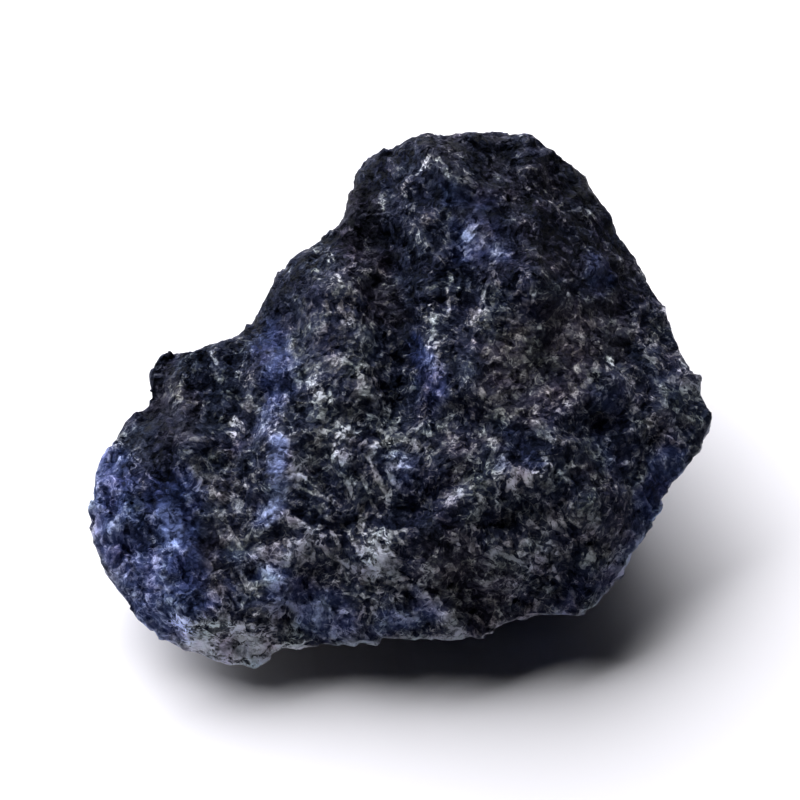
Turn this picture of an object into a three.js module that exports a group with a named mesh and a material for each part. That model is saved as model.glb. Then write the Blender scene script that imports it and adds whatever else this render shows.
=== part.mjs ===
// A rough piece of sodalite, one chunk left as it split from the rock. A broad uneven face
// slopes down towards the front, between a dark shoulder on the right and a lower lobe on the
// left that carries a small knob. A narrow steep break runs along the front edge, the sides
// are undercut below the rim, and one small flat spot carries the stone.
// Millimetres, +Z up. The origin is the middle of the footprint, on the resting surface.

import * as THREE from "three";
import { ImprovedNoise } from "three/addons/math/ImprovedNoise.js";

// Driving dimensions, in millimetres and degrees.
const DRAWING_TILT = 52; // how far down the front drawing of the stone looks
const LONGEST_EDGE = 2.05; // the longest triangle edge on the finished skin
const UNEVEN_CUTS = 0.3; // how far from its middle an edge may be cut, as a share of its length
const WEAR_PASSES = 3; // how often the sharp edges of the splits are rubbed down
const REST_FADE = 1.8; // height over which the broken relief grows from the flat spot
const ON_FLOOR = 1e-6; // points no higher than this belong to the flat spot
const CLEAR_OF_FLOOR = 0.05; // least height of every other point

// The corners of the stone, drawn from the front: [across, up the drawing, height].
// The rim is the outline of that drawing, clockwise from the left end of the crown.
const RIM = [
  [-3.2, 26.8, 24],
  [3.5, 29.6, 26.5],
  [12.7, 29.2, 26.5],
  [17.4, 26.8, 24],
  [20.3, 22.5, 21.5],
  [24, 16.7, 19],
  [27.8, 9.6, 16.5],
  [31.2, 1.4, 14],
  [30.8, -1, 12.5],
  [26.2, -7.2, 10],
  [23.4, -12.5, 8.2],
  [21.8, -15.9, 7],
  [17.8, -18.5, 6.2],
  [13.2, -18.5, 6],
  [8.5, -20.5, 5.5],
  [2.5, -20.5, 5.2],
  [-3, -21, 4.4],
  [-9, -21.7, 3.4],
  [-13, -22.1, 2.6],
  [-17.2, -22.5, 2.2],
  [-20.8, -22.5, 2.4],
  [-24.3, -20.6, 3.6],
  [-27.3, -16.7, 5.4],
  [-28.9, -12.6, 7],
  [-30.8, -7.5, 9.5],
  [-30.2, -4.2, 10.5],
  [-27.4, 0.5, 12],
  [-25.6, 2.6, 13],
  [-25.5, 5.8, 14],
  [-24, 8.4, 15.2],
  [-21.2, 9.3, 16],
  [-18.2, 8.5, 16.4],
  [-16, 9.5, 17],
  [-13, 13.3, 18.5],
  [-11.7, 15.9, 19.5],
  [-9.6, 18.2, 20.5],
  [-6.2, 19.9, 21.5],
  [-5.2, 22, 22.5],
];

// Ridges, hollows and breaks of the broad face.
const FACE = [
  [4.5, 26.5, 27.5], // crown
  [12.5, 15.5, 25.5], // where the right shoulder breaks away
  [-1, 21.5, 24], // left of the crown
  [1.5, 16, 23.2], // hollow, top
  [1, 9, 20.4], // hollow, middle
  [0, 3, 17.6], // hollow, foot
  [-6, 13, 21.8], // left bulge, top
  [-5, 5, 19.4], // left bulge, foot
  [-12, 6.5, 18], // left ridge, top
  [-11.5, -2.5, 16], // left ridge, middle
  [-10, -13.5, 10.2], // left ridge, foot
  [-7, -10, 13], // front break, left end
  [-1.5, -13, 11], // front break, middle
  [5, -17, 7.8], // front break, right end
  [-1, -4, 16.2], // knoll over the front break
  [11.5, -2, 18.8], // middle of the right half
  [21.5, 1.5, 17.5], // right ridge
  [17.5, -11.5, 12], // lower right
  [7, 7.5, 21.5], // above the middle
  [6, -10.5, 13.5], // below the middle
  [-16.5, -7.5, 12], // hollow of the left lobe
  [-15.5, 1.5, 15.2], // top of that hollow
  [-22, -9, 12], // crest of the left lobe
  [-19.5, 1.5, 15.5], // below the knob
  [-20, -17, 9.4], // foot of the left lobe
  [-14.5, -17.5, 8.4], // above the pale corner
];

// The side that the drawing doesn't show, with the flat spot at height 0.
const UNDERSIDE = [
  [-7, -13, 0],
  [-1, -14.5, 0],
  [5, -13, 0],
  [9.5, -8.5, 0],
  [10.5, -1, 0],
  [6, 4.5, 0],
  [-1, 6, 0],
  [-7.5, 3.5, 0],
  [-11.5, -2, 0],
  [-11, -8.5, 0],
  [-14, -13, 1.2],
  [-8, -17, 1.4],
  [2, -18, 1.6],
  [10, -15.5, 1.8],
  [14.5, -9, 1.6],
  [16.5, -1, 2],
  [13, 6.5, 2.2],
  [5, 10.5, 1.8],
  [-5, 10, 1.6],
  [-13, 4.5, 2],
  [-17, -5, 1.8],
  [17, -16.6, 3],
  [20.5, -9.5, 4.2],
  [24, 0, 6.5],
  [22, 12, 9],
  [15, 20.5, 10],
  [8, 26.5, 19],
  [3, 20, 8],
  [-3, 22.5, 15],
  [-10, 14, 9],
  [-22.5, 6, 10.5],
  [-18.5, 5.5, 8],
  [-24.5, -6.5, 5.5],
  [-22, -16.6, 2],
  [-13, -19.6, 1],
];

// Lumps and hollows of the broad face, drawn as lines from one point to another. Each stands
// its height above the splits, or sinks below them, and fades out over its reach.
const LUMPS = [
  { from: [-1.7, 18], to: [0.8, 4], reach: 4, height: -1.6 }, // trough right of the left bulge
  { from: [-7, 13], to: [-4.5, 4.5], reach: 4.5, height: 1.1 }, // left bulge
  { from: [-3.5, 1.5], to: [0.5, 1.5], reach: 2.4, height: -0.9 }, // nick under the bulge
  { from: [3.5, 9], to: [3, 5], reach: 2.6, height: 0.6 }, // right bank of the trough
  { from: [-11.6, 6], to: [-11.8, -8], reach: 2.8, height: 0.8 }, // upright ridge of the left side
  { from: [-18, 3.5], to: [-17, 1], reach: 3, height: -1.1 }, // hollow beside the knob
  { from: [-21, 6], to: [-17, 6.6], reach: 2.6, height: 0.7 }, // knob
  { from: [-23.6, 2.5], to: [-22.4, -5.5], reach: 2.6, height: -0.9 }, // groove down the left lobe
  { from: [5, 25.5], to: [12, 14], reach: 3.4, height: 0.8 }, // ridge of the right shoulder
  { from: [19.5, 0.5], to: [20.5, -3], reach: 4, height: -1.3 }, // hollow near the right corner
  { from: [16, 2], to: [22, 5.5], reach: 2.4, height: 0.7 }, // lip above that hollow
  { from: [11.7, -0.5], to: [12.5, -2], reach: 2.8, height: -0.9 }, // pit in the right half
  { from: [9.5, -4.8], to: [13, -4.6], reach: 2.2, height: 0.7 }, // ledge below the pit
  { from: [7, -9.3], to: [10.5, -9.5], reach: 2.4, height: -0.8 }, // pit over the front edge
  { from: [6.5, -14.5], to: [8, -18], reach: 2.6, height: -0.9 }, // notch in the front edge
  { from: [16.8, -11], to: [16.8, -15.5], reach: 2.4, height: -0.9 }, // groove of the lower right
  { from: [-8.6, -14], to: [-6, -14.6], reach: 2.6, height: -0.8 }, // dent in the front break
  { from: [-2.5, -11], to: [-1.5, -12.6], reach: 2.2, height: 0.6 }, // pale knuckle
  { from: [-7.5, -3], to: [-4, -9.5], reach: 3, height: -0.7 }, // splintered dip
];

// Broken relief: chips are small flat splits, each [size, height] across the whole skin.
const CHIPS = [
  [7.5, 0.14],
  [3.6, 0.12],
];
const SWELL = { length: 12, height: 0.7 };
const GRAIN = { length: 2.6, height: 0.12 };
const LEDGES = { normal: new THREE.Vector3(-0.35, 0.25, 0.9), step: 3.6, height: 0.3, riser: 0.25 };

// Flake scars: shallow bowls knocked out of the edges. Each lies where a line from the core
// meets the skin, and its sinking is how deep its ball of the given radius bites.
const CORE = new THREE.Vector3(0, -6, 10);
const SCARS = [
  { towards: [24, 14, -3], radius: 13, sinking: 1.5 },
  { towards: [-12, 18, 0], radius: 12, sinking: 1.4 },
  { towards: [8, 27, -1], radius: 11, sinking: 1.2 },
];

const SODALITE = { name: "sodalite", color: 0x272b3c, roughness: 0.62, metalness: 0 };

const tilt = THREE.MathUtils.degToRad(DRAWING_TILT);
const noise = new ImprovedNoise();

// The place in space of a corner of the drawing.
function placed([across, up, height]) {
  return new THREE.Vector3(across, (up - height * Math.cos(tilt)) / Math.sin(tilt), height);
}

// Whether a point of the drawing lies inside the rim.
function insideRim(x, y) {
  let inside = false;
  RIM.forEach(([ax, ay], i) => {
    const [bx, by] = RIM[(i + 1) % RIM.length];
    if (ay > y !== by > y && x < ax + ((bx - ax) * (y - ay)) / (by - ay)) inside = !inside;
  });
  return inside;
}

// The centre and squared radius of the circle through three points of the drawing.
function circleThrough([ax, ay], [bx, by], [cx, cy]) {
  const [px, py, qx, qy] = [bx - ax, by - ay, cx - ax, cy - ay];
  const area2 = px * qy - py * qx;
  const [p2, q2] = [px * px + py * py, qx * qx + qy * qy];
  const x = (qy * p2 - py * q2) / (2 * area2);
  const y = (px * q2 - qx * p2) / (2 * area2);
  return { area2, x: ax + x, y: ay + y, r2: x * x + y * y };
}

// Delaunay triangles of the drawing's corners, anticlockwise, inside the rim only.
function drawnTriangles(corners) {
  const found = [];
  const count = corners.length;
  for (let a = 0; a < count; a++)
    for (let b = a + 1; b < count; b++)
      for (let c = b + 1; c < count; c++) {
        const three = [corners[a], corners[b], corners[c]];
        const round = circleThrough(...three);
        if (Math.abs(round.area2) < 1e-9) continue;
        const clear = corners.every(
          ([x, y], i) => i === a || i === b || i === c || (x - round.x) ** 2 + (y - round.y) ** 2 > round.r2,
        );
        const middleX = three.reduce((sum, [x]) => sum + x, 0) / 3;
        const middleY = three.reduce((sum, [, y]) => sum + y, 0) / 3;
        if (clear && insideRim(middleX, middleY)) found.push(round.area2 > 0 ? [a, b, c] : [a, c, b]);
      }
  return found;
}

// The stone as flat splits: the drawn face and the underside, sewn along the rim.
function splitFaces() {
  const front = drawnTriangles([...RIM, ...FACE]);
  const back = drawnTriangles([...RIM, ...UNDERSIDE]);
  const past = (i) => (i < RIM.length ? i : i + FACE.length);
  const triangles = [...front, ...back.map(([a, b, c]) => [past(a), past(c), past(b)])];
  return { points: [...RIM, ...FACE, ...UNDERSIDE].map(placed), triangles };
}

// Cuts every edge longer than the limit near its middle, the same way from both of its sides.
function halveEdges({ points, triangles }, limit) {
  const middles = new Map();
  const middle = (a, b) => {
    if (points[a].distanceTo(points[b]) <= limit) return null;
    const key = a < b ? `${a}-${b}` : `${b}-${a}`;
    if (!middles.has(key)) {
      const sum = points[a].clone().add(points[b]);
      const share = 0.5 + (scatter(sum.x, sum.y, sum.z, 6) - 0.5) * UNEVEN_CUTS;
      middles.set(key, points.push(points[a].clone().lerp(points[b], share)) - 1);
    }
    return middles.get(key);
  };
  const made = [];
  for (const corners of triangles) {
    const halves = corners.map((a, i) => middle(a, corners[(i + 1) % 3]));
    const cuts = halves.filter((m) => m !== null).length;
    // Turn the triangle so that the pattern of cut edges always starts the same way.
    const turn = cuts === 1 ? halves.findIndex((m) => m !== null) : halves.findIndex((m) => m === null) + 1;
    const [a, b, c] = [0, 1, 2].map((i) => corners[(i + turn) % 3]);
    const [ab, bc, ca] = [0, 1, 2].map((i) => halves[(i + turn) % 3]);
    if (cuts === 0) made.push([a, b, c]);
    else if (cuts === 1) made.push([a, ab, c], [ab, b, c]);
    else if (cuts === 3) made.push([a, ab, ca], [ab, b, bc], [bc, c, ca], [ab, bc, ca]);
    else if (points[a].distanceTo(points[bc]) < points[ab].distanceTo(points[c]))
      made.push([ab, b, bc], [a, ab, bc], [a, bc, c]);
    else made.push([ab, b, bc], [a, ab, c], [ab, bc, c]);
  }
  return { points, triangles: made };
}

function refined(skin) {
  for (let limit = 16; limit > LONGEST_EDGE; limit /= 1.5) skin = halveEdges(skin, limit);
  for (let i = 0; i < 3; i++) skin = halveEdges(skin, LONGEST_EDGE);
  return skin;
}

// Rubs the edges down: each point moves halfway to the middle of its neighbours.
function worn({ points, triangles }) {
  const around = points.map(() => ({ sum: new THREE.Vector3(), count: 0 }));
  for (const [a, b, c] of triangles)
    for (const [from, to] of [[a, b], [b, c], [c, a]]) {
      around[from].sum.add(points[to]);
      around[from].count += 1;
    }
  const rubbed = points.map((point, i) => {
    const middle = around[i].sum.divideScalar(around[i].count);
    return point.z < ON_FLOOR ? point : point.clone().lerp(middle, 0.5);
  });
  return { points: rubbed, triangles };
}

// A repeatable number from 0 to 1 for a cell of a lattice.
function scatter(x, y, z, salt) {
  const s = Math.sin(x * 127.1 + y * 311.7 + z * 74.7 + salt * 53.3) * 43758.5453;
  return s - Math.floor(s);
}

// The height of a flat, tilted split that fills the lattice cell nearest to the point.
function chip(point, size) {
  const [x, y, z] = point.toArray().map((v) => v / size);
  const [cx, cy, cz] = [x, y, z].map(Math.floor);
  let nearest = Infinity;
  let height = 0;
  for (let i = cx - 1; i <= cx + 1; i++)
    for (let j = cy - 1; j <= cy + 1; j++)
      for (let k = cz - 1; k <= cz + 1; k++) {
        const off = [0, 1, 2].map((salt) => [x, y, z][salt] - [i, j, k][salt] - scatter(i, j, k, salt));
        const far = off.reduce((sum, v) => sum + v * v, 0);
        if (far >= nearest) continue;
        nearest = far;
        height = off.reduce((sum, v, axis) => sum + v * (scatter(i, j, k, axis + 3) - 0.5), 0) * 2;
      }
  return height * size;
}

// Low terraces where the rock has parted along its cleavage.
function ledge(point) {
  const wander = noise.noise(point.x / 9, point.y / 9, point.z / 9);
  const climb = point.dot(LEDGES.normal) / LEDGES.step + wander;
  const along = climb - Math.floor(climb);
  const rise = along < 1 - LEDGES.riser ? along / (1 - LEDGES.riser) : (1 - along) / LEDGES.riser;
  return rise - 0.5;
}

function relief(point) {
  const wave = ({ length, height }) =>
    noise.noise(point.x / length + 7.3, point.y / length - 2.9, point.z / length + 4.1) * height;
  const chipped = CHIPS.reduce((sum, [size, height]) => sum + chip(point, size) * height, 0);
  return wave(SWELL) + wave(GRAIN) + chipped + ledge(point) * LEDGES.height;
}

// How far the lumps and hollows of the drawing raise a point that faces the viewer of it.
function lumpiness(point, outward) {
  const facing = Math.max(0, outward.dot(new THREE.Vector3(0, -Math.cos(tilt), Math.sin(tilt))));
  const drawn = new THREE.Vector3(point.x, point.y * Math.sin(tilt) + point.z * Math.cos(tilt), 0);
  const raised = LUMPS.reduce((sum, { from, to, reach, height }) => {
    const line = new THREE.Line3(new THREE.Vector3(...from), new THREE.Vector3(...to));
    const far = line.closestPointToPoint(drawn, true, new THREE.Vector3()).distanceTo(drawn);
    return sum + height * (1 - THREE.MathUtils.smoothstep(far, 0, reach));
  }, 0);
  return raised * facing;
}

// The ball that knocks out a scar.
function ballOf({ towards, radius, sinking }, points) {
  const line = new THREE.Vector3(...towards).normalize();
  const fromCore = points.map((p) => p.clone().sub(CORE));
  const reach = fromCore.reduce((far, p) => (p.angleTo(line) < far.angleTo(line) ? p : far)).length();
  return { centre: CORE.clone().addScaledVector(line, reach + radius - sinking), radius };
}

// Pushes a point out of the ball of each scar that holds it.
function scarred(point, scars) {
  for (const { centre, radius } of scars) {
    const out = point.clone().sub(centre);
    if (out.length() < radius) point.copy(centre).add(out.setLength(radius));
  }
}

function geometryOf({ points, triangles }) {
  const geometry = new THREE.BufferGeometry();
  geometry.setAttribute("position", new THREE.Float32BufferAttribute(points.flatMap((p) => p.toArray()), 3));
  geometry.setIndex(triangles.flat());
  geometry.computeVertexNormals();
  return geometry;
}

function roughStone() {
  let skin = refined(splitFaces());
  for (let pass = 0; pass < WEAR_PASSES; pass++) skin = worn(skin);
  const normals = geometryOf(skin).getAttribute("normal");
  const scars = SCARS.map((scar) => ballOf(scar, skin.points));
  skin.points.forEach((point, i) => {
    if (point.z < ON_FLOOR) return;
    const outward = new THREE.Vector3().fromBufferAttribute(normals, i);
    const fade = THREE.MathUtils.smoothstep(point.z, 0, REST_FADE);
    scarred(point, scars);
    point.addScaledVector(outward, (relief(point) + lumpiness(point, outward)) * fade);
    point.z = Math.max(point.z, CLEAR_OF_FLOOR);
  });
  const geometry = geometryOf(skin);
  geometry.computeBoundingBox();
  const { min, max } = geometry.boundingBox;
  return geometry.translate(-(min.x + max.x) / 2, -(min.y + max.y) / 2, -min.z);
}

const stone = new THREE.Mesh(roughStone(), new THREE.MeshStandardMaterial(SODALITE));
stone.name = "sodalite_chunk";

const part = new THREE.Group();
part.add(stone);

export default part;
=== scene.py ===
import math

import bmesh
import bpy
import numpy as np
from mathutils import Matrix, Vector, noise


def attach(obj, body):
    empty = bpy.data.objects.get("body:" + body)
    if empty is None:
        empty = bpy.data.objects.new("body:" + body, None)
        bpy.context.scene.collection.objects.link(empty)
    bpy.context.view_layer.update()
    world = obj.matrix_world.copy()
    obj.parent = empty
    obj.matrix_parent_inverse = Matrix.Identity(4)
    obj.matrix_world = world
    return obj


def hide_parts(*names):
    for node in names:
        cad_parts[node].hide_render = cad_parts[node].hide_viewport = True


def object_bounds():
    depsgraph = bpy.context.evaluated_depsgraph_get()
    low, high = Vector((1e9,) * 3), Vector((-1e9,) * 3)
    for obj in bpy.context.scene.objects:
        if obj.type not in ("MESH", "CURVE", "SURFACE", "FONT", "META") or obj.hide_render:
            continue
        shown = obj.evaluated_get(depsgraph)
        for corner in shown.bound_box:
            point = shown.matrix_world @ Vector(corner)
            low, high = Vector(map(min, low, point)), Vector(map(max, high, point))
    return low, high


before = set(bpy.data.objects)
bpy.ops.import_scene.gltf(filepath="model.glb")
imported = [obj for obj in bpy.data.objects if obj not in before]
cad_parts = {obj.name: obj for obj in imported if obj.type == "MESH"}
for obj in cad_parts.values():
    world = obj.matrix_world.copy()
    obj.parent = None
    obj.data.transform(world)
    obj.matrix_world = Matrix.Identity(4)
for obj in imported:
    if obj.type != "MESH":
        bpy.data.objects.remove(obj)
cad_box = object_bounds()

# The stone. One chunk of sodalite rock, a dark blue granular mineral grown through with paler
# and browner ones. It was knocked loose and left as it split, so its whole skin is small breaks,
# grains and splinters, on the larger ledges and lumps that the frame gives.
MM = 0.001
TOUCHING = MM / 1000  # points closer than this are one point
SPLITS = 2  # how often each triangle of the frame's stone is parted in four
SOFTENING = 0.5  # how far each corner is drawn to the middle of its neighbours after a split
BREAKS = [(4.6, 0.3), (2.6, 0.24), (1.5, 0.15)]  # small flat breaks: size across, height, in mm
CRUST = (1.3, 0.1)  # grains between the breaks: size across, height, in mm
TILT_MIX = 37.0  # spreads the middles of the breaks, so that each gets a tilt of its own
FLAT_SPOT = 0.003  # points up to this height belong to the flat spot, in mm
FLOOR_FADE = 1.2  # height over which the relief grows from the flat spot, in mm
CLEAR = 0.03  # least height of the skin beside the flat spot, in mm

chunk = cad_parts["sodalite_chunk"]
shape = bmesh.new()
shape.from_mesh(chunk.data)
bmesh.ops.remove_doubles(shape, verts=shape.verts, dist=TOUCHING)
for _ in range(SPLITS):
    bmesh.ops.subdivide_edges(shape, edges=shape.edges, cuts=1, use_grid_fill=True)
    raised = [corner for corner in shape.verts if corner.co.z > TOUCHING]
    bmesh.ops.smooth_vert(
        shape, verts=raised, factor=SOFTENING, use_axis_x=True, use_axis_y=True, use_axis_z=True
    )
shape.normal_update()


def flat_break(place, size):
    """Height of the flat, tilted break that a point lies on, as a share of its size."""
    gaps, centres = noise.voronoi(place / size)
    tilt = noise.cell_vector(centres[0] * TILT_MIX)
    return (place / size - centres[0]).dot(tilt)


def fine_relief(place):
    """How far the small breaks and grains raise a point of the skin, in mm."""
    height = sum(flat_break(place, size) * rise for size, rise in BREAKS)
    size, rise = CRUST
    return height + noise.turbulence(place / size, 3, True) * rise - rise / 2


for corner in shape.verts:
    place = corner.co / MM
    if place.z > FLAT_SPOT:
        fade = min(1.0, place.z / FLOOR_FADE)
        corner.co += corner.normal * fine_relief(place) * fade * MM
        corner.co.z = max(corner.co.z, CLEAR * MM)
skin = bpy.data.meshes.new("sodalite_skin")
shape.to_mesh(skin)
shape.free()
skin.shade_smooth()
stone = bpy.data.objects.new("sodalite_stone", skin)
bpy.context.scene.collection.objects.link(stone)
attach(stone, "root")
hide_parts("sodalite_chunk")

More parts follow.
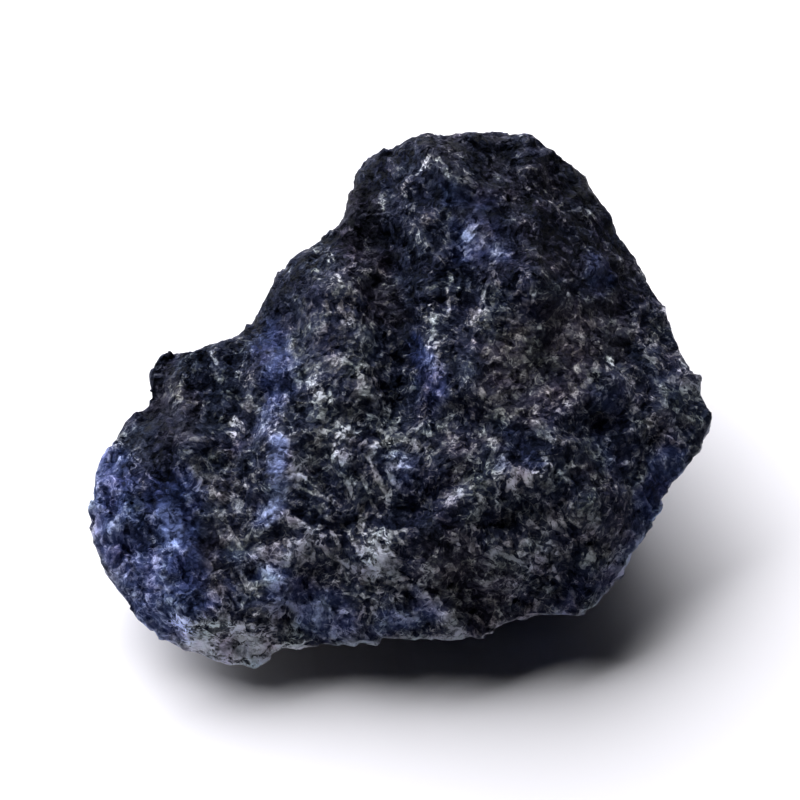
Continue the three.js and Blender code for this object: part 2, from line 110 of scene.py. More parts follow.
# The minerals of the broad face, where its grains are quieter, and where it is lighter or darker:
# partly the rock's own tone, partly painted light and shade, and along the top edge a painted shadow
# of stones that would lie beside it. They are drawn from the front, looking down at the face:
# millimetres across and up. Each stroke runs from one point to another and has a reach to each side
# and a strength.
LOOK_DOWN = math.radians(52)
ZERO = (-0.18, 4.64)  # where the drawing's zero lies, counted from the stone's own origin
CORE = 0.3  # a stroke is full up to this share of its reach
END = 1.5  # and gone at this share of it
SEEN = (-0.25, 0.05)  # how far the skin must face the drawing, for none and all of it to show
WOBBLE = 2.2  # length of the waves along the minerals' edges, in mm
WANDER = 0.9  # height of those waves, in mm
STEADY = ("sky",)  # minerals whose small spots keep their place and don't wander
ZONES = {
    "blue": [
        ((-28, -4), (-27, -9), 3.0, 0.85),
        ((-26, -11), (-22.5, -18), 3.2, 0.9),
        ((-22, -7), (-20, -16), 2.8, 1.0),
        ((-20.4, -4.6), (-20, -6.6), 1.5, 0.7),
        ((-16, -14), (-12, -14), 2.6, 0.5),
        ((-12.4, 8.6), (-11.4, 4), 2.4, 0.7),
        ((-12, 2.6), (-12.5, 0.4), 1.7, 0.5),
        ((-11.4, -1.6), (-11.6, -4.2), 1.9, 0.65),
        ((-11.2, -5.4), (-12.1, -8.4), 1.6, 0.6),
        ((-11, -15.4), (-6, -18), 2.6, 0.8),
        ((1.6, 8.4), (2.6, 6.6), 1.2, 1.0),
        ((2.8, 5.4), (3.4, 3.4), 1.6, 0.7),
        ((5, 23), (8, 21.4), 1.8, 0.6),
        ((6.6, 18.2), (9.9, 17.2), 2.4, 1.0),
        ((19.4, 15.8), (19.8, 13.8), 1.5, 0.9),
        ((20.2, 3), (21, -1.5), 2.6, 0.45),
        ((26.4, -3), (24, -7.6), 1.8, 0.9),
        ((24, -8), (22, -13), 2.2, 0.55),
        ((16, -17), (21, -14), 2.6, 0.4),
        ((-2, -19), (3, -17), 1.8, 0.6),
        ((-0.6, -3), (1, -5), 2.2, 0.4),
        ((11, -1), (13, -3), 1.4, 0.6),
    ],
    "sky": [
        ((-22, -7.8), (-21.6, -10), 1.3, 1.8),
        ((-11.4, -1.4), (-11.7, -3.8), 1.2, 0.95),
        ((-12.7, 6.4), (-12.1, 3.4), 1.0, 0.4),
        ((-11.8, 1.4), (-12.2, 0.2), 0.8, 0.35),
        ((-11.2, -5), (-12, -8.6), 1.1, 0.6),
        ((-26, 0.4), (-27, -2), 0.8, 0.4),
        ((-12.4, 9.6), (-11.6, 8.6), 1.2, 0.5),
        ((6.8, 18.3), (10, 17.4), 1.7, 0.4),
        ((2.4, 7), (3.2, 6), 0.8, 0.7),
        ((19.4, 15.4), (19.4, 14), 0.7, 0.9),
        ((9.6, -3.4), (10.4, -2.8), 0.9, 0.6),
        ((20.3, 2), (20.9, 1.5), 1.0, 0.7),
        ((0.4, -3.2), (1.4, -3.4), 1.4, 0.5),
    ],
    "pale": [
        ((-20.8, -18.3), (-19.6, -19.3), 1.3, 1.1),
        ((-18, -20), (-14, -20.8), 2.2, 1.6),
        ((-14, -21.4), (-9.5, -21.4), 1.4, 1.1),
        ((-15.2, 5.6), (-14.2, 3.6), 1.2, 0.5),
        ((-15.9, 0.6), (-15.5, -0.4), 0.9, 0.6),
        ((-5.6, 0.8), (-5.4, -0.4), 0.6, 0.6),
        ((-5.4, -1.2), (-6, -2.6), 0.6, 0.65),
        ((-3.4, 0.8), (-3.2, 0), 0.6, 0.55),
        ((-0.3, 1.6), (-0.7, 0.4), 0.6, 0.5),
        ((-1.5, -1.2), (0.9, -1.4), 0.8, 0.4),
        ((-2.4, -10.4), (-2.6, -13), 1.3, 1.0),
        ((9.4, -5), (13.4, -4.3), 0.8, 0.6),
        ((8, -6.8), (8.2, -7.6), 0.9, 0.5),
        ((0.5, 23.2), (1.2, 20.8), 0.7, 0.6),
        ((2.2, 25.2), (3.4, 26.4), 0.8, 0.6),
        ((3.4, 26.4), (5, 24.2), 0.8, 0.5),
        ((-5.8, 11.6), (-4.8, 10.4), 0.9, 0.6),
        ((-9.4, 4.9), (-8.6, 4.7), 0.7, 0.6),
        ((-7.4, 4), (-6.6, 2.4), 0.8, 0.5),
        ((-7.3, 17.2), (-6.7, 17), 0.7, 1.0),
        ((-10, -3.8), (-9.6, -4.8), 0.9, 0.7),
        ((-8, -9.6), (-7.4, -11.8), 0.9, 0.7),
        ((20, 6.4), (20.4, 6), 0.8, 0.9),
        ((3, 11.6), (3, 9.4), 0.7, 0.5),
        ((3.6, 7.6), (3.6, 6), 0.6, 0.7),
    ],
    "brown": [
        ((12, 5), (18, 9.5), 5.0, 1.0),
        ((6, -2), (8, -1), 3.0, 0.5),
        ((5, -12), (8, -16), 3.6, 0.9),
        ((-4.5, 22), (-1.5, 12), 3.0, 0.8),
        ((6, 27), (18, 22), 4.5, 0.55),
        ((12, 18), (21, 15), 3.6, 0.5),
        ((18, -9), (22, -14), 3.4, 0.3),
        ((7, 20), (9, 16), 2.4, 0.5),
        ((-23, 4), (-21, 0.5), 2.6, 0.6),
        ((-18, -15), (-17, -10), 1.6, 0.5),
        ((17.6, -4.4), (19.4, -5.4), 1.6, 0.6),
        ((4, -14), (9, -16), 2.2, 0.8),
    ],
    # Darker rock, and painted shade in hollows and on slopes turned from the lamp.
    "dark": [
        ((11.4, 20.5), (13.6, 17), 2.4, 1.3),
        ((11, 20), (20, 17.6), 3.2, 2.1),
        ((9, 25), (14, 21.4), 2.6, 1.3),
        ((12.4, 21.4), (13.6, 20.6), 1.4, 2.6),
        ((-26.4, -5), (-25.6, -7), 1.2, 0.8),
        ((-14.6, 0), (-14, -6), 1.3, 0.7),
        ((24.4, -5.4), (25.2, -6.4), 1.2, 0.7),
        ((10, 15.4), (17, 14.6), 2.2, 1.1),
        ((0, 17.5), (4, 14), 2.8, 1.6),
        ((7.6, 15.2), (9, 15), 1.4, 0.9),
        ((-8, 15.4), (-9, 14), 1.6, 0.8),
        ((5, 10), (7, 7), 1.6, 0.6),
        ((12.5, 13), (14, 12), 1.6, 0.7),
        ((-20.5, 1), (-19.8, -1), 1.2, 0.8),
        ((0.6, -8.4), (4.4, -9.4), 1.8, 1.2),
        ((-1.3, 18), (0.5, 3.5), 2.6, 1.0),
        ((12, 26), (21, 14), 4.4, 1.5),
        ((-4, 25), (2, 22.6), 2.4, 1.2),
        ((4, 20.4), (8, 21.6), 1.8, 0.8),
        ((-23.6, 1), (-22.2, -5.6), 2.4, 1.9),
        ((-20.6, 0.6), (-19.4, -1), 1.6, 1.2),
        ((-19, -8.4), (-17.6, -12), 1.6, 0.7),
        ((-24.6, -6), (-25, -9), 1.0, 0.8),
        ((-19.8, -7.4), (-19.6, -11), 1.0, 0.6),
        ((-21, 6.6), (-15.6, 6.4), 1.6, 1.2),
        ((-19.6, 3.6), (-16.8, 3), 1.8, 1.2),
        ((-17.4, 2), (-17.2, -2), 1.4, 0.6),
        ((6.9, -14.4), (7.1, -16.6), 1.2, 0.5),
        ((16.8, -10.5), (16.8, -15), 1.4, 0.9),
        ((-23.4, -11.6), (-20, -13.4), 1.4, 0.5),
        ((-12.6, 9), (-11.8, 5), 1.8, 0.6),
        ((11.2, 0), (12.4, -2.6), 1.6, 0.8),
        ((8.6, -9.8), (10.6, -9.4), 1.2, 0.6),
        ((18.5, 1), (21.5, -3), 3.4, 0.8),
        ((-9.2, -6.6), (-6.8, -9.4), 1.6, 1.1),
        ((-9, 0.8), (-7, -1.6), 1.4, 0.8),
        ((20.6, 7.4), (24.8, 5.2), 1.8, 1.0),
        ((-13.6, -16.6), (-13.4, -18.6), 1.2, 0.8),
        ((-19, -12), (-19, -17), 0.9, 0.6),
        ((14, -5.2), (17.4, -5.4), 1.2, 0.6),
        # Painted shadow on the knob and along the top edge, as if stones beside it shaded them.
        ((-25, 6), (-19, 8.6), 3.4, 1.9),
        ((-19.5, 2.8), (-18.8, 0.4), 1.4, 1.4),
        ((-15.6, 10), (-6.4, 19.4), 2.6, 2.0),
        ((-4.6, 21), (-2, 27), 3.0, 2.2),
        ((-3, 26), (16, 28.6), 2.6, 2.1),
        ((17, 26), (22, 18), 3.4, 2.3),
        ((-9, 15), (-3, 20), 3.0, 1.2),
    ],
    "calm": [
        ((-9.5, 10), (-4.5, 7), 3.4, 0.3),
        ((12, 6), (18, 9), 4.4, 0.26),
        ((-23, 1), (-19, -1), 2.4, 0.4),
        ((-19.4, -9), (-18.4, -13), 1.6, 0.5),
        ((-17, -5), (-17.2, -8), 1.4, 0.4),
        ((5, 23.6), (9, 20), 1.8, 0.4),
    ],
    # Lighter rock, and painted light on faces turned from the lamp, most of all low at the front.
    "light": [
        ((-17.4, -14), (-9, -16.6), 2.6, 1.4),
        ((-10, -17.2), (-4.6, -18.4), 2.2, 1.7),
        ((-14.6, 4), (-13.6, 2), 1.8, 0.9),
        ((-5.6, 12.4), (-4.4, 10.8), 1.8, 0.7),
        ((9.4, -11.8), (15.6, -12.2), 2.0, 1.2),
        ((12, 11.6), (20, 10.6), 2.4, 0.9),
        ((11, -6.4), (16, -6.6), 2.2, 0.7),
        ((7, -8.2), (7.6, -9.4), 1.4, 0.9),
        ((18.6, 0.4), (22, 3.4), 1.6, 1.0),
        ((21, -12), (23, -12), 1.6, 0.8),
        ((-2.6, -11), (-1.4, -13), 1.6, 1.0),
        ((13, 9), (21, 9), 3.0, 0.6),
        ((-10, 7), (-3, 6), 3.0, 0.3),
        ((-4, 9), (-2.4, 3.4), 1.8, 0.6),
        ((-4, -2.6), (-2, -6), 2.0, 0.5),
        ((19, 0), (20, -0.5), 1.2, 0.8),
        ((-17, -6), (-17, -7), 1.5, 0.4),
        ((-20.2, -4.4), (-19.9, -6.8), 1.5, 1.2),
        ((-23.6, 4.6), (-22.6, 3.4), 1.6, 1.3),
        ((6, -6), (11, -6), 1.6, 0.7),
        ((-14, -11), (-11, -12.4), 1.6, 0.9),
        ((-2, -13), (-1.5, -14.5), 1.4, 0.6),
        ((15.5, -11), (16.4, -15.5), 1.2, 0.9),
        ((-26, -15), (-25, -16), 1.6, 0.7),
        ((-23, -18), (-17, -19), 2.2, 0.8),
        ((-20.5, -20.4), (-11, -21.2), 2.6, 2.1),
        ((-17.8, -22.2), (-13.6, -22.1), 0.6, 2.4),
        ((-13.4, -21.8), (-12, -20.8), 0.5, 1.8),
        ((-18.4, -19.6), (-18, -20.2), 0.5, 2.0),
        ((6.8, 18.2), (9.8, 17.2), 1.8, 2.2),
        ((9.8, 18.6), (10.4, 17.8), 0.8, 2.6),
        ((23, -2), (26.4, 0), 2.4, 1.1),
        ((21.4, -2.4), (23, -4), 1.6, 0.9),
        ((-8.4, -3), (-3, 2.4), 2.6, 1.2),
        ((-18, -2), (-16.4, -4), 1.8, 0.8),
        ((-3, 0.6), (1.4, 3.4), 1.8, 0.7),
        ((9.6, 4), (10.6, 2), 1.6, 1.0),
        ((15, 12), (19.6, 12), 2.0, 0.9),
        ((12, -9.4), (18, -10.4), 2.6, 1.2),
        ((12.4, 6.2), (16, 9), 2.2, 1.0),
        ((19.4, 15.8), (19.6, 13.8), 1.3, 1.3),
        ((10, -5.8), (10.4, -6.4), 1.4, 0.8),
        ((-8.6, -14.6), (-7.6, -15.2), 1.5, 1.7),
        ((6, -20.4), (9, -20.6), 1.4, 1.1),
        ((-11.4, 12), (-10.4, 12.4), 1.6, 0.8),
        ((15.6, -12), (16.4, -12.4), 1.6, 1.9),
        ((4, -15), (5, -19), 2.0, 0.7),
        ((12, -17.6), (19, -16.6), 2.2, 1.1),
        ((-14.6, -11.4), (-13, -12.6), 1.8, 1.2),
        ((-16, -8), (-8, -14), 4.0, 0.85),
        ((-12, -16.6), (0, -18.6), 2.8, 1.2),
        ((-26.4, -8), (-20, -9), 4.0, 0.6),
        ((-28, -10), (-23, -17), 3.2, 1.0),
        ((-22, -7.8), (-21.7, -9.8), 1.4, 1.0),
        ((-11.4, -1.4), (-11.6, -4), 1.5, 1.8),
        ((-11.2, -4.8), (-11.8, -7.8), 1.6, 1.9),
        ((-12.5, 4), (-12, 0.2), 1.4, 0.6),
        ((12, -4), (20, -9), 3.0, 0.4),
    ],
}

# Veins: pale seams that wind over the face, each along its points.
VEIN_ROOM = 2.0  # how far from a vein its distance is kept, in mm
VEINS = [
    [(-1.2, -1.9), (-0.2, -1.1), (1.0, -1.2), (1.8, -2.1)],
    [(-1.0, -3.6), (-0.6, -4.8), (0.2, -5.4)],
    [(-21.9, -10.6), (-23.4, -12.8), (-24.2, -15)],
    [(-21.9, -10.6), (-20.2, -12.8)],
    [(-21.2, -3.4), (-20.2, -6), (-19.8, -8.6)],
    [(-19.2, -3.4), (-18.6, -5.6)],
    [(-5.7, -12.4), (-3.3, -13.4), (-0.8, -14.2), (1.4, -14.8), (3, -16), (4.5, -18), (6.3, -19.6)],
    [(3.8, -14.6), (5.6, -13.4)],
    [(-9.8, -8.1), (-6.5, -11.7), (-5.7, -12.4)],
    [(-6.5, -20.9), (-4.2, -20.2), (-1.7, -18.8), (0, -18.2), (2.2, -18)],
    [(16.2, 1.7), (17.4, 4.1), (19.9, 5.8), (22.3, 5.6)],
    [(24.4, 7), (26.6, 5), (28.4, 2.4)],
    [(9.6, -11.8), (11.6, -12.9), (14.6, -13.8)],
    [(10.5, -4.2), (12.4, -4.4), (13.6, -4.1), (14.2, -3)],
    [(-1.6, -1.6), (-0.3, -0.8), (0.9, -1.7)],
    [(-4, 3.4), (-2.2, 2.7), (-0.6, 3.2)],
    [(3.2, 11.4), (3.4, 8), (3.4, 5)],
    [(2.2, 19.4), (3.6, 17.2), (4.9, 15), (5.1, 13.4), (5, 11.2)],
    [(-13.8, -10), (-12.6, -13.7), (-10.6, -17), (-7.3, -19.8)],
    [(14.2, -8.3), (15.6, -9.7), (17.4, -10.5), (19.6, -13.6)],
    [(1.9, 25.4), (3.4, 26.6), (5.2, 24), (6.6, 24), (7.3, 23.2)],
    [(-8, 17.8), (-9.6, 17), (-11, 15.6), (-12, 14)],
]

# Splinters: thin straight blades of the pale mineral, each from one point to another.
SPLINTERS = [
    ((-3.6, -4.4), (-2.7, -6.1)),
    ((-2.8, -6.6), (-1.7, -8.4)),
    ((-3.3, -7.2), (-3.8, -9.3)),
    ((-2.2, -4.6), (-1.1, -5.7)),
    ((-9.5, -5.5), (-7.5, -6.5)),
    ((-8, -6), (-5.5, -7.4)),
    ((-5.6, -9), (-4.6, -10)),
    ((-6.4, -9.6), (-5.6, -11.2)),
    ((-6, -12.2), (-4.2, -13.6)),
    ((-9.4, -11.6), (-8.6, -10.2)),
    ((-7, -8.4), (-6, -8.9)),
    ((-5, -5), (-4.2, -6.8)),
    ((-4.4, -10.6), (-3.6, -12)),
    ((-0.4, -9.6), (0.4, -11)),
    ((8.3, 13.2), (7.8, 11.2)),
    ((4.9, 15.3), (5.2, 14.2)),
    ((4.8, 13.4), (4.9, 11.3)),
    ((10.4, -5.8), (10.7, -5.2)),
    ((15.3, -4), (16.5, -5.3)),
    ((16.2, -8.5), (17.3, -9.3)),
    ((14.8, -13.3), (15.4, -14.5)),
    ((10.1, -12), (10.6, -12.4)),
    ((5.1, -18.2), (5.4, -18.7)),
    ((-18.2, 7.4), (-17.5, 6.2)),
    ((-7.2, 3.9), (-7.6, 2.5)),
    ((-6.5, 3.8), (-6.4, 2.4)),
    ((-3.4, 4.9), (-3.3, 4.3)),
    ((-10.9, 3.4), (-10.6, 2.6)),
    ((-6, 14.9), (-5.6, 14.3)),
    ((9.9, 10.7), (10.9, 10.3)),
    ((16, 14.2), (17.2, 14.4)),
    ((-3.1, -2.4), (-1.6, -5)),
    ((-1.9, -5), (-0.9, -6.8)),
    ((-3, -8), (-3.6, -10)),
    ((-2.2, -10.6), (-1.2, -12.4)),
    ((-1.2, -11), (-0.6, -12.2)),
]

# Scratches along the top edge, thinner than the splinters.
THINNER = 0.07  # by how much, in mm
SCRATCHES = [
    ((15.1, 22.4), (15.9, 21.6)),
    ((10.2, 20.8), (11.4, 20.1)),
    ((13.2, 23.8), (14.6, 23)),
    ((16.2, 21.8), (17.4, 20.7)),
    ((12, 25.4), (13.6, 25.2)),
    ((14.6, 22.2), (15.6, 21.5)),
    ((12, 20.7), (13.2, 20.5)),
    ((11, 22), (12, 21.6)),
    ((18.4, 21.4), (19.4, 20.4)),
    ((12.4, 18.7), (13.4, 18.4)),
    ((20.6, 17.4), (21.2, 16.8)),
    ((9.6, 24.4), (11, 24)),
    ((9.4, 22.6), (10.4, 22.2)),
    ((16.4, 19.4), (17.4, 18.6)),
    ((18.2, 17.6), (18.8, 16.8)),
]


def stretch(values, low, high):
    """Smooth steps from 0 at low to 1 at high."""
    share = np.clip((values - low) / (high - low), 0, 1)
    return share * share * (3 - 2 * share)


def gap_to(points, start, end):
    """Distance of each drawn point from a straight stroke."""
    start, line = np.array(start), np.subtract(end, start)
    share = np.clip((points - start) @ line / (line @ line), 0, 1)
    return np.linalg.norm(points - start - share[:, None] * line, axis=1)


def keep(name, values):
    """Keeps a number for every point of the stone's skin, for its finish to read."""
    skin.attributes.new(name, "FLOAT", "POINT").data.foreach_set("value", values.astype(np.float32))


places = np.empty(len(skin.vertices) * 3)
skin.vertices.foreach_get("co", places)
places = places.reshape(-1, 3) / MM
facings = np.empty(len(skin.vertices) * 3)
skin.vertices.foreach_get("normal", facings)
facings = facings.reshape(-1, 3)
up_the_face = places[:, 1] * math.sin(LOOK_DOWN) + places[:, 2] * math.cos(LOOK_DOWN)
drawn = np.stack([places[:, 0] - ZERO[0], up_the_face - ZERO[1]], axis=1)
noise.seed_set(1)  # so that the waves are the same each time
waves = np.array([noise.noise_vector(Vector(place) / WOBBLE) for place in places])
wandered = drawn + waves[:, :2] * WANDER
facing_up = facings[:, 2] * math.sin(LOOK_DOWN) - facings[:, 1] * math.cos(LOOK_DOWN)
shown = stretch(facing_up, *SEEN)
for name, strokes in ZONES.items():
    points = drawn if name in STEADY else wandered
    cover = np.zeros(len(places))
    for start, end, reach, strength in strokes:
        gap = gap_to(points, start, end)
        cover = np.maximum(cover, strength * (1 - stretch(gap, reach * CORE, reach * END)))
    keep(name, cover * shown)
vein_gap = np.full(len(places), VEIN_ROOM)
for vein in VEINS:
    for start, end in zip(vein, vein[1:]):
        vein_gap = np.minimum(vein_gap, gap_to(wandered, start, end))
keep("vein_gap", vein_gap * shown + VEIN_ROOM * (1 - shown))
splinter_gap = np.full(len(places), VEIN_ROOM)
for start, end in SPLINTERS:
    splinter_gap = np.minimum(splinter_gap, gap_to(drawn, start, end))
for start, end in SCRATCHES:
    splinter_gap = np.minimum(splinter_gap, gap_to(drawn, start, end) + THINNER)
keep("splinter_gap", splinter_gap * shown + VEIN_ROOM * (1 - shown))
keep("shown", shown)

# Painted light and shade: crests are painted paler and hollows darker, to deepen the relief, and
# the rim gets a painted highlight where it turns under, strongest at the front right, in shade.
# So each point keeps how far it stands out of its surroundings, and which way the skin turns there.
CREST_ROUNDS = 2  # rounds of averaging that smooth away small crests
RIDGE_ROUNDS = 14  # and broad ridges
TURN_ROUNDS = 8  # rounds that leave only the broad turn of the skin
HIGHLIGHT_WAY = (0.43, -0.55, -0.72)  # the way that the rim faces where its painted highlight is strongest
HIGHLIGHT_FROM, HIGHLIGHT_TO = -0.3, 0.5  # how far the skin must face that way, for least and most
LEAST_HIGHLIGHT = 0.15
edges = np.empty(len(skin.edges) * 2, dtype=np.int64)
skin.edges.foreach_get("vertices", edges)
edges = edges.reshape(-1, 2)
neighbours = np.bincount(edges.ravel(), minlength=len(places))[:, None]


def averaged(values):
    """Each point's neighbours on the skin, averaged."""
    total = np.zeros_like(values)
    np.add.at(total, edges[:, 0], values[edges[:, 1]])
    np.add.at(total, edges[:, 1], values[edges[:, 0]])
    return total / neighbours


def standing_out(rounds):
    """How far each point stands out of its surroundings, in mm."""
    soft = places
    for _ in range(rounds):
        soft = averaged(soft)
    return ((places - soft) * facings).sum(axis=1)


keep("crest", standing_out(CREST_ROUNDS))
keep("ridge", standing_out(RIDGE_ROUNDS))
soft_facings = facings
for _ in range(TURN_ROUNDS):
    soft_facings = averaged(soft_facings)
soft_facings /= np.linalg.norm(soft_facings, axis=1)[:, None]
keep("turn", soft_facings @ (0, -math.cos(LOOK_DOWN), math.sin(LOOK_DOWN)))
rim_highlight = stretch(soft_facings @ HIGHLIGHT_WAY, HIGHLIGHT_FROM, HIGHLIGHT_TO)
keep("rim_highlight", LEAST_HIGHLIGHT + (1 - LEAST_HIGHLIGHT) * rim_highlight)


# The stone's finish: dull, granular sodalite, mixed from its minerals. Its brightness is counted
# in doublings, so that each mineral, vein, painted highlight and painted shade makes the rock so
# many times lighter or darker. Its grains shine a little, each with its own tilt.
class Wire:
    """A socket of a finish. Arithmetic adds Math nodes, or Vector Math nodes on vectors and colours."""

    def __init__(self, tree, socket=None):
        self.tree = tree
        self.socket = socket

    def add(self, kind, settings, inputs, output=0):
        """Adds a node and gives one of its sockets back."""
        node = self.tree.nodes.new("ShaderNode" + kind)
        for name, value in settings.items():
            setattr(node, name, value)
        for name, value in inputs.items():
            if isinstance(value, Wire):
                self.tree.links.new(value.socket, node.inputs[name])
            else:
                node.inputs[name].default_value = value
        return Wire(self.tree, node.outputs[output])

    def math(self, operation, *values, output=0):
        kind = "Math"
        if any(isinstance(value, Wire) and value.socket.type in ("VECTOR", "RGBA") for value in values):
            kind = "VectorMath"
            values = [(value,) * 3 if isinstance(value, (int, float)) else value for value in values]
        return self.add(kind, {"operation": operation}, dict(enumerate(values)), output)

    def __add__(self, other):
        return self.math("ADD", self, other)

    def __sub__(self, other):
        return self.math("SUBTRACT", self, other)

    def __rsub__(self, other):
        return self.math("SUBTRACT", other, self)

    def __mul__(self, other):
        return self.math("MULTIPLY", self, other)

    def __rpow__(self, other):
        return self.math("POWER", other, self)

    __radd__ = __add__
    __rmul__ = __mul__

    def dot(self, other):
        return self.math("DOT_PRODUCT", self, other, output="Value")

    def between(self, low, high):
        """0 below low, 1 above high and smooth between them."""
        settings = {"interpolation_type": "SMOOTHSTEP"}
        return self.add("MapRange", settings, {"Value": self, "From Min": low, "From Max": high})

    def tint(self, under, over):
        """Lays one colour over another, as far as this wire says."""
        return self.add("Mix", {"data_type": "RGBA"}, {0: self, 6: under, 7: over}, output=2)

    def moved(self, x, y, z):
        """The same place, counted from elsewhere, for a pattern of its own."""
        return self.add("Mapping", {}, {"Vector": self, "Location": (x, y, z)})

    def noise(self, size, detail=2.0, rough=0.5, bend=0.0, output=0):
        """Soft noise with lumps of the given size in metres."""
        inputs = {"Vector": self, "Scale": 1 / size, "Detail": detail}
        inputs |= {"Roughness": rough, "Distortion": bend}
        return self.add("TexNoise", {}, inputs, output)

    def cell(self, size, output="Color"):
        """A random colour or the middle of the cell of the given size that holds this point."""
        return self.add("TexVoronoi", {}, {"Vector": self, "Scale": 1 / size}, output)

    def part(self, letter):
        """The red, green or blue share of a colour."""
        return self.add("SeparateColor", {}, {0: self}, letter)

    def facets(self, size):
        """Height in metres of flat faces of the given size, each tilted its own way."""
        return (self - self.cell(size, "Position")).dot(self.cell(size) - 0.5)

    def threads(self, size, width):
        """Thin winding lines, where soft noise of the given size crosses its middle."""
        middle = self.noise(size, 2.0, 0.5, 0.6) - 0.5
        return self.math("ABSOLUTE", middle).between(width, width * 0.3)


sodalite = bpy.data.materials.new("sodalite_rock")
sodalite.use_nodes = True
tree = sodalite.node_tree
rock = tree.nodes["Principled BSDF"]
blank = Wire(tree)
place = blank.add("TexCoord", {}, {}, "Object")


def kept(name):
    """A number that the skin keeps at every point."""
    return blank.add("Attribute", {"attribute_name": name}, {}, "Fac")


shown = kept("shown")
hidden = 1 - shown

# Each grain cleaves one way into blades, and each blade has its own tone and its own tilted face.
CLUMP = 3.4 * MM  # grains this near to each other cleave the same way
CRYSTAL = 0.8 * MM
BLADE = 0.36 * MM
CHIP = 1.6 * MM
SLIMNESS = 0.6  # how much thinner than long a blade is
way = place.cell(CLUMP) - 0.5
way = way.math("NORMALIZE", way)
ragged = place + (place.noise(1.1 * MM, 2.0, output="Color") - 0.5) * (0.7 * MM)
slim = ragged - way * ragged.dot(way) * SLIMNESS
crystal = slim.cell(CRYSTAL)
blade = slim.cell(BLADE)
chips = place.moved(0.1, 0.2, 0.3).facets(CHIP)
facets = slim.facets(BLADE) + slim.facets(CRYSTAL) * 0.8 + chips * 0.8
speck = place.noise(0.7 * MM, 4.0, 0.7)
mottle = place.noise(3 * MM, 3.0, 0.6)

# Threads: hair-thin pale lines between the grains, which come and go.
threads = place.threads(1.2 * MM, 0.035)
threads = threads.math("MAXIMUM", threads, place.moved(0.6, 0.2, 0.4).threads(2.1 * MM, 0.028))
threads = threads * place.moved(0.2, 0.8, 0.1).noise(1.4 * MM, 2.0, 0.6).between(0.42, 0.56)

# The minerals' edges are frayed by the mottling of the rock.
fray = (mottle - 0.5) * 1.6
LOOSE_EDGE = 0.12  # how softly the loose patches end


def patches(name, size, share, x):
    """How much of a mineral lies here: drawn on the broad face, in loose patches elsewhere."""
    loose = hidden * place.moved(x, 0.5, 0.1).noise(size).between(share, share + LOOSE_EDGE)
    return (kept(name) + loose + fray).between(0.1, 0.9)


blue = patches("blue", 12 * MM, 0.48, 0.9)
brown = patches("brown", 12 * MM, 0.52, 0.3)
pale = patches("pale", 8 * MM, 0.64, 0.7)
sky = (kept("sky") + fray * 0.4).between(0.2, 1.2)
vein = (kept("vein_gap") + (speck - 0.5) * 1.2).between(0.48, 0.1)
vein = vein * blade.part("Red").between(0.1, 0.4)
splinter = (kept("splinter_gap") + (speck - 0.5) * 0.8).between(0.27, 0.07)

# How much each grain, speck and thread differs from the rock's mean brightness.
light_grains = crystal.part("Red").between(0.5, 0.85)
varied = (light_grains - 0.4) * 1.9 + (blade.part("Red") - 0.5) * 1.8
varied = varied + (speck - 0.5) * 9.0 + (mottle - 0.5) * 3.6
# Pale threads, and on the rarest blades painted glints.
varied = varied + threads.math("MAXIMUM", threads * 2.2, blade.part("Green").between(0.84, 0.9) * 1.2)

# Painted highlight: the rim is painted pale where the skin turns from the face to the underside.
turn = kept("turn") + (speck - 0.5) * 0.8
rim = turn.between(0.66, 0.34) * turn.between(-0.06, 0.2) * kept("rim_highlight")
rim = rim * (mottle.between(0.38, 0.6) * 0.7 + 0.3)

# Brightness, from full white down: 1 less is half as bright.
MEAN = -5.2
BRIGHTEST = -1.2
contrast = 1.14 - blue * 0.36 - sky * 0.4 - kept("calm") + pale * 0.7
tone = MEAN + varied * contrast + rim * 4.4 + vein * (2.0 - blue * 0.6) + splinter * 4.0
# Painted light on crests and ridges, painted shade in hollows.
tone = tone + kept("crest") * 6.0 + kept("ridge")
# The light and dark strokes are partly the rock's own tone and partly painted light and shade.
tone = tone + blue * 0.2 + sky * 1.3 + pale * 1.7 + kept("light") - kept("dark") * 1.4
tone = tone.math("SMOOTH_MIN", tone, BRIGHTEST + pale * 0.8, 2.0)

# Every mineral is most coloured where it is dark: the darks are navy and the lights nearly grey.
hue = tone.between(-8.6, -2.6).tint((0.70, 1.0, 2.9, 1), (0.95, 1.0, 1.18, 1))
deep_blue = tone.between(-7.2, -1.6).tint((0.60, 1.0, 3.6, 1), (0.87, 1.0, 1.7, 1))
umber = tone.between(-7.6, -2.2).tint((1.10, 1.0, 1.9, 1), (1.01, 1.0, 1.08, 1))
sky_blue = tone.between(-6.4, -1.2).tint((0.64, 1.0, 3.1, 1), (0.76, 1.0, 2.0, 1))
hue = blue.tint(hue, deep_blue)
hue = (sky * 0.9).tint(hue, sky_blue)
hue = (brown * 0.9).tint(hue, umber)
drift = place.moved(0.4, 0.9, 0.6).noise(3 * MM, 2.0, output="Color") - 0.5
drift = drift * (0.36 - sky * 0.3) + 1
colour = hue * drift * 2 ** tone
tree.links.new(colour.socket, rock.inputs["Base Color"])
dull = 0.55 + (speck - 0.5) * 0.6
tree.links.new(dull.socket, rock.inputs["Roughness"])
rock.inputs["Specular IOR Level"].default_value = 0.04
rock.inputs["Specular Tint"].default_value = (0.5, 0.66, 1.0, 1)
height = facets * 1.2 + speck * (0.5 * MM)
bump = blank.add("Bump", {}, {"Strength": 1.0, "Distance": 1.0, "Height": height})
tree.links.new(bump.socket, rock.inputs["Normal"])
skin.materials.append(sodalite)

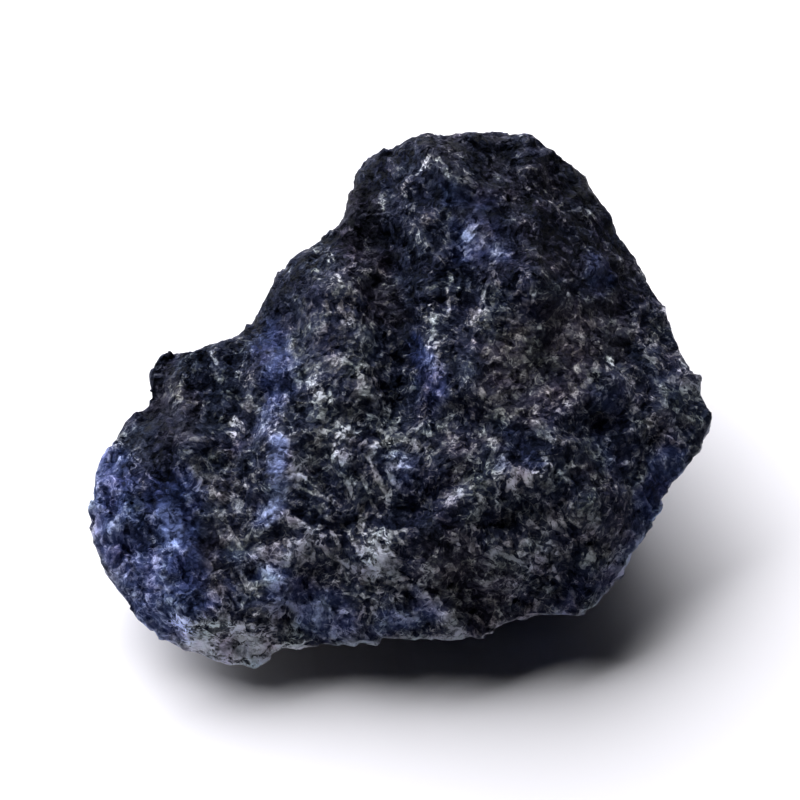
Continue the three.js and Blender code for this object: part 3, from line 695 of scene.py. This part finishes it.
# The floor: a plain white sheet of paper, far wider than the stone, which lies on it with its
# flat spot. It is matt and faintly blue.
FLOOR_HALF = 1.5  # half of its width, in metres
floor_shape = bmesh.new()
bmesh.ops.create_grid(floor_shape, x_segments=1, y_segments=1, size=FLOOR_HALF)
floor_skin = bpy.data.meshes.new("paper")
floor_shape.to_mesh(floor_skin)
floor_shape.free()
floor = bpy.data.objects.new("paper_floor", floor_skin)
bpy.context.scene.collection.objects.link(floor)
paper = bpy.data.materials.new("white_paper")
paper.use_nodes = True
matt = paper.node_tree.nodes["Principled BSDF"]
matt.inputs["Base Color"].default_value = (0.85, 0.85, 0.91, 1)
matt.inputs["Roughness"].default_value = 0.9
matt.inputs["Specular IOR Level"].default_value = 0.1
floor_skin.materials.append(paper)

# The light: one broad window, low behind the stone on its left, in a room that is otherwise dark.
# Its soft light falls towards the front right and leaves a wide shadow under the rim.
WINDOW_PLACE = Vector((-0.44, 0.75, 0.42))
WINDOW_SIZE = 1.6
WINDOW_POWER = 62
room = bpy.data.worlds.new("dark_room")
room.use_nodes = True
walls = room.node_tree.nodes["Background"]
walls.inputs["Color"].default_value = (0.82, 0.84, 1.0, 1)
walls.inputs["Strength"].default_value = 0.003
bpy.context.scene.world = room
lamp = bpy.data.lights.new("window_light", "AREA")
lamp.size = WINDOW_SIZE
lamp.energy = WINDOW_POWER
lamp.color = (1.0, 0.99, 0.98)
window = bpy.data.objects.new("window_light", lamp)
window.location = WINDOW_PLACE
window.rotation_euler = (-WINDOW_PLACE).to_track_quat("-Z", "Y").to_euler()
bpy.context.scene.collection.objects.link(window)

# The camera looks down at the broad face of the stone from the front.
CAMERA_AWAY = 0.48  # in metres
FIELD = 78 * MM  # width that the picture shows at the stone
SENSOR = 36
AIM_HEIGHT = 0.42  # height of the middle of the picture, as a share of the stone's
lowest, highest = cad_box
aim = Vector((0, 0, (lowest.z + highest.z) * AIM_HEIGHT))
eye = bpy.data.cameras.new("front_camera")
eye.sensor_width = SENSOR
eye.lens = SENSOR * CAMERA_AWAY / FIELD
eye.clip_start = 0.01
eye.clip_end = 10
camera = bpy.data.objects.new("front_camera", eye)
back = Vector((0, -math.cos(LOOK_DOWN), math.sin(LOOK_DOWN)))
camera.location = aim + back * CAMERA_AWAY
camera.rotation_euler = (-back).to_track_quat("-Z", "Y").to_euler()
bpy.context.scene.collection.objects.link(camera)
bpy.context.scene.camera = camera
bpy.context.scene.view_settings.view_transform = "Standard"
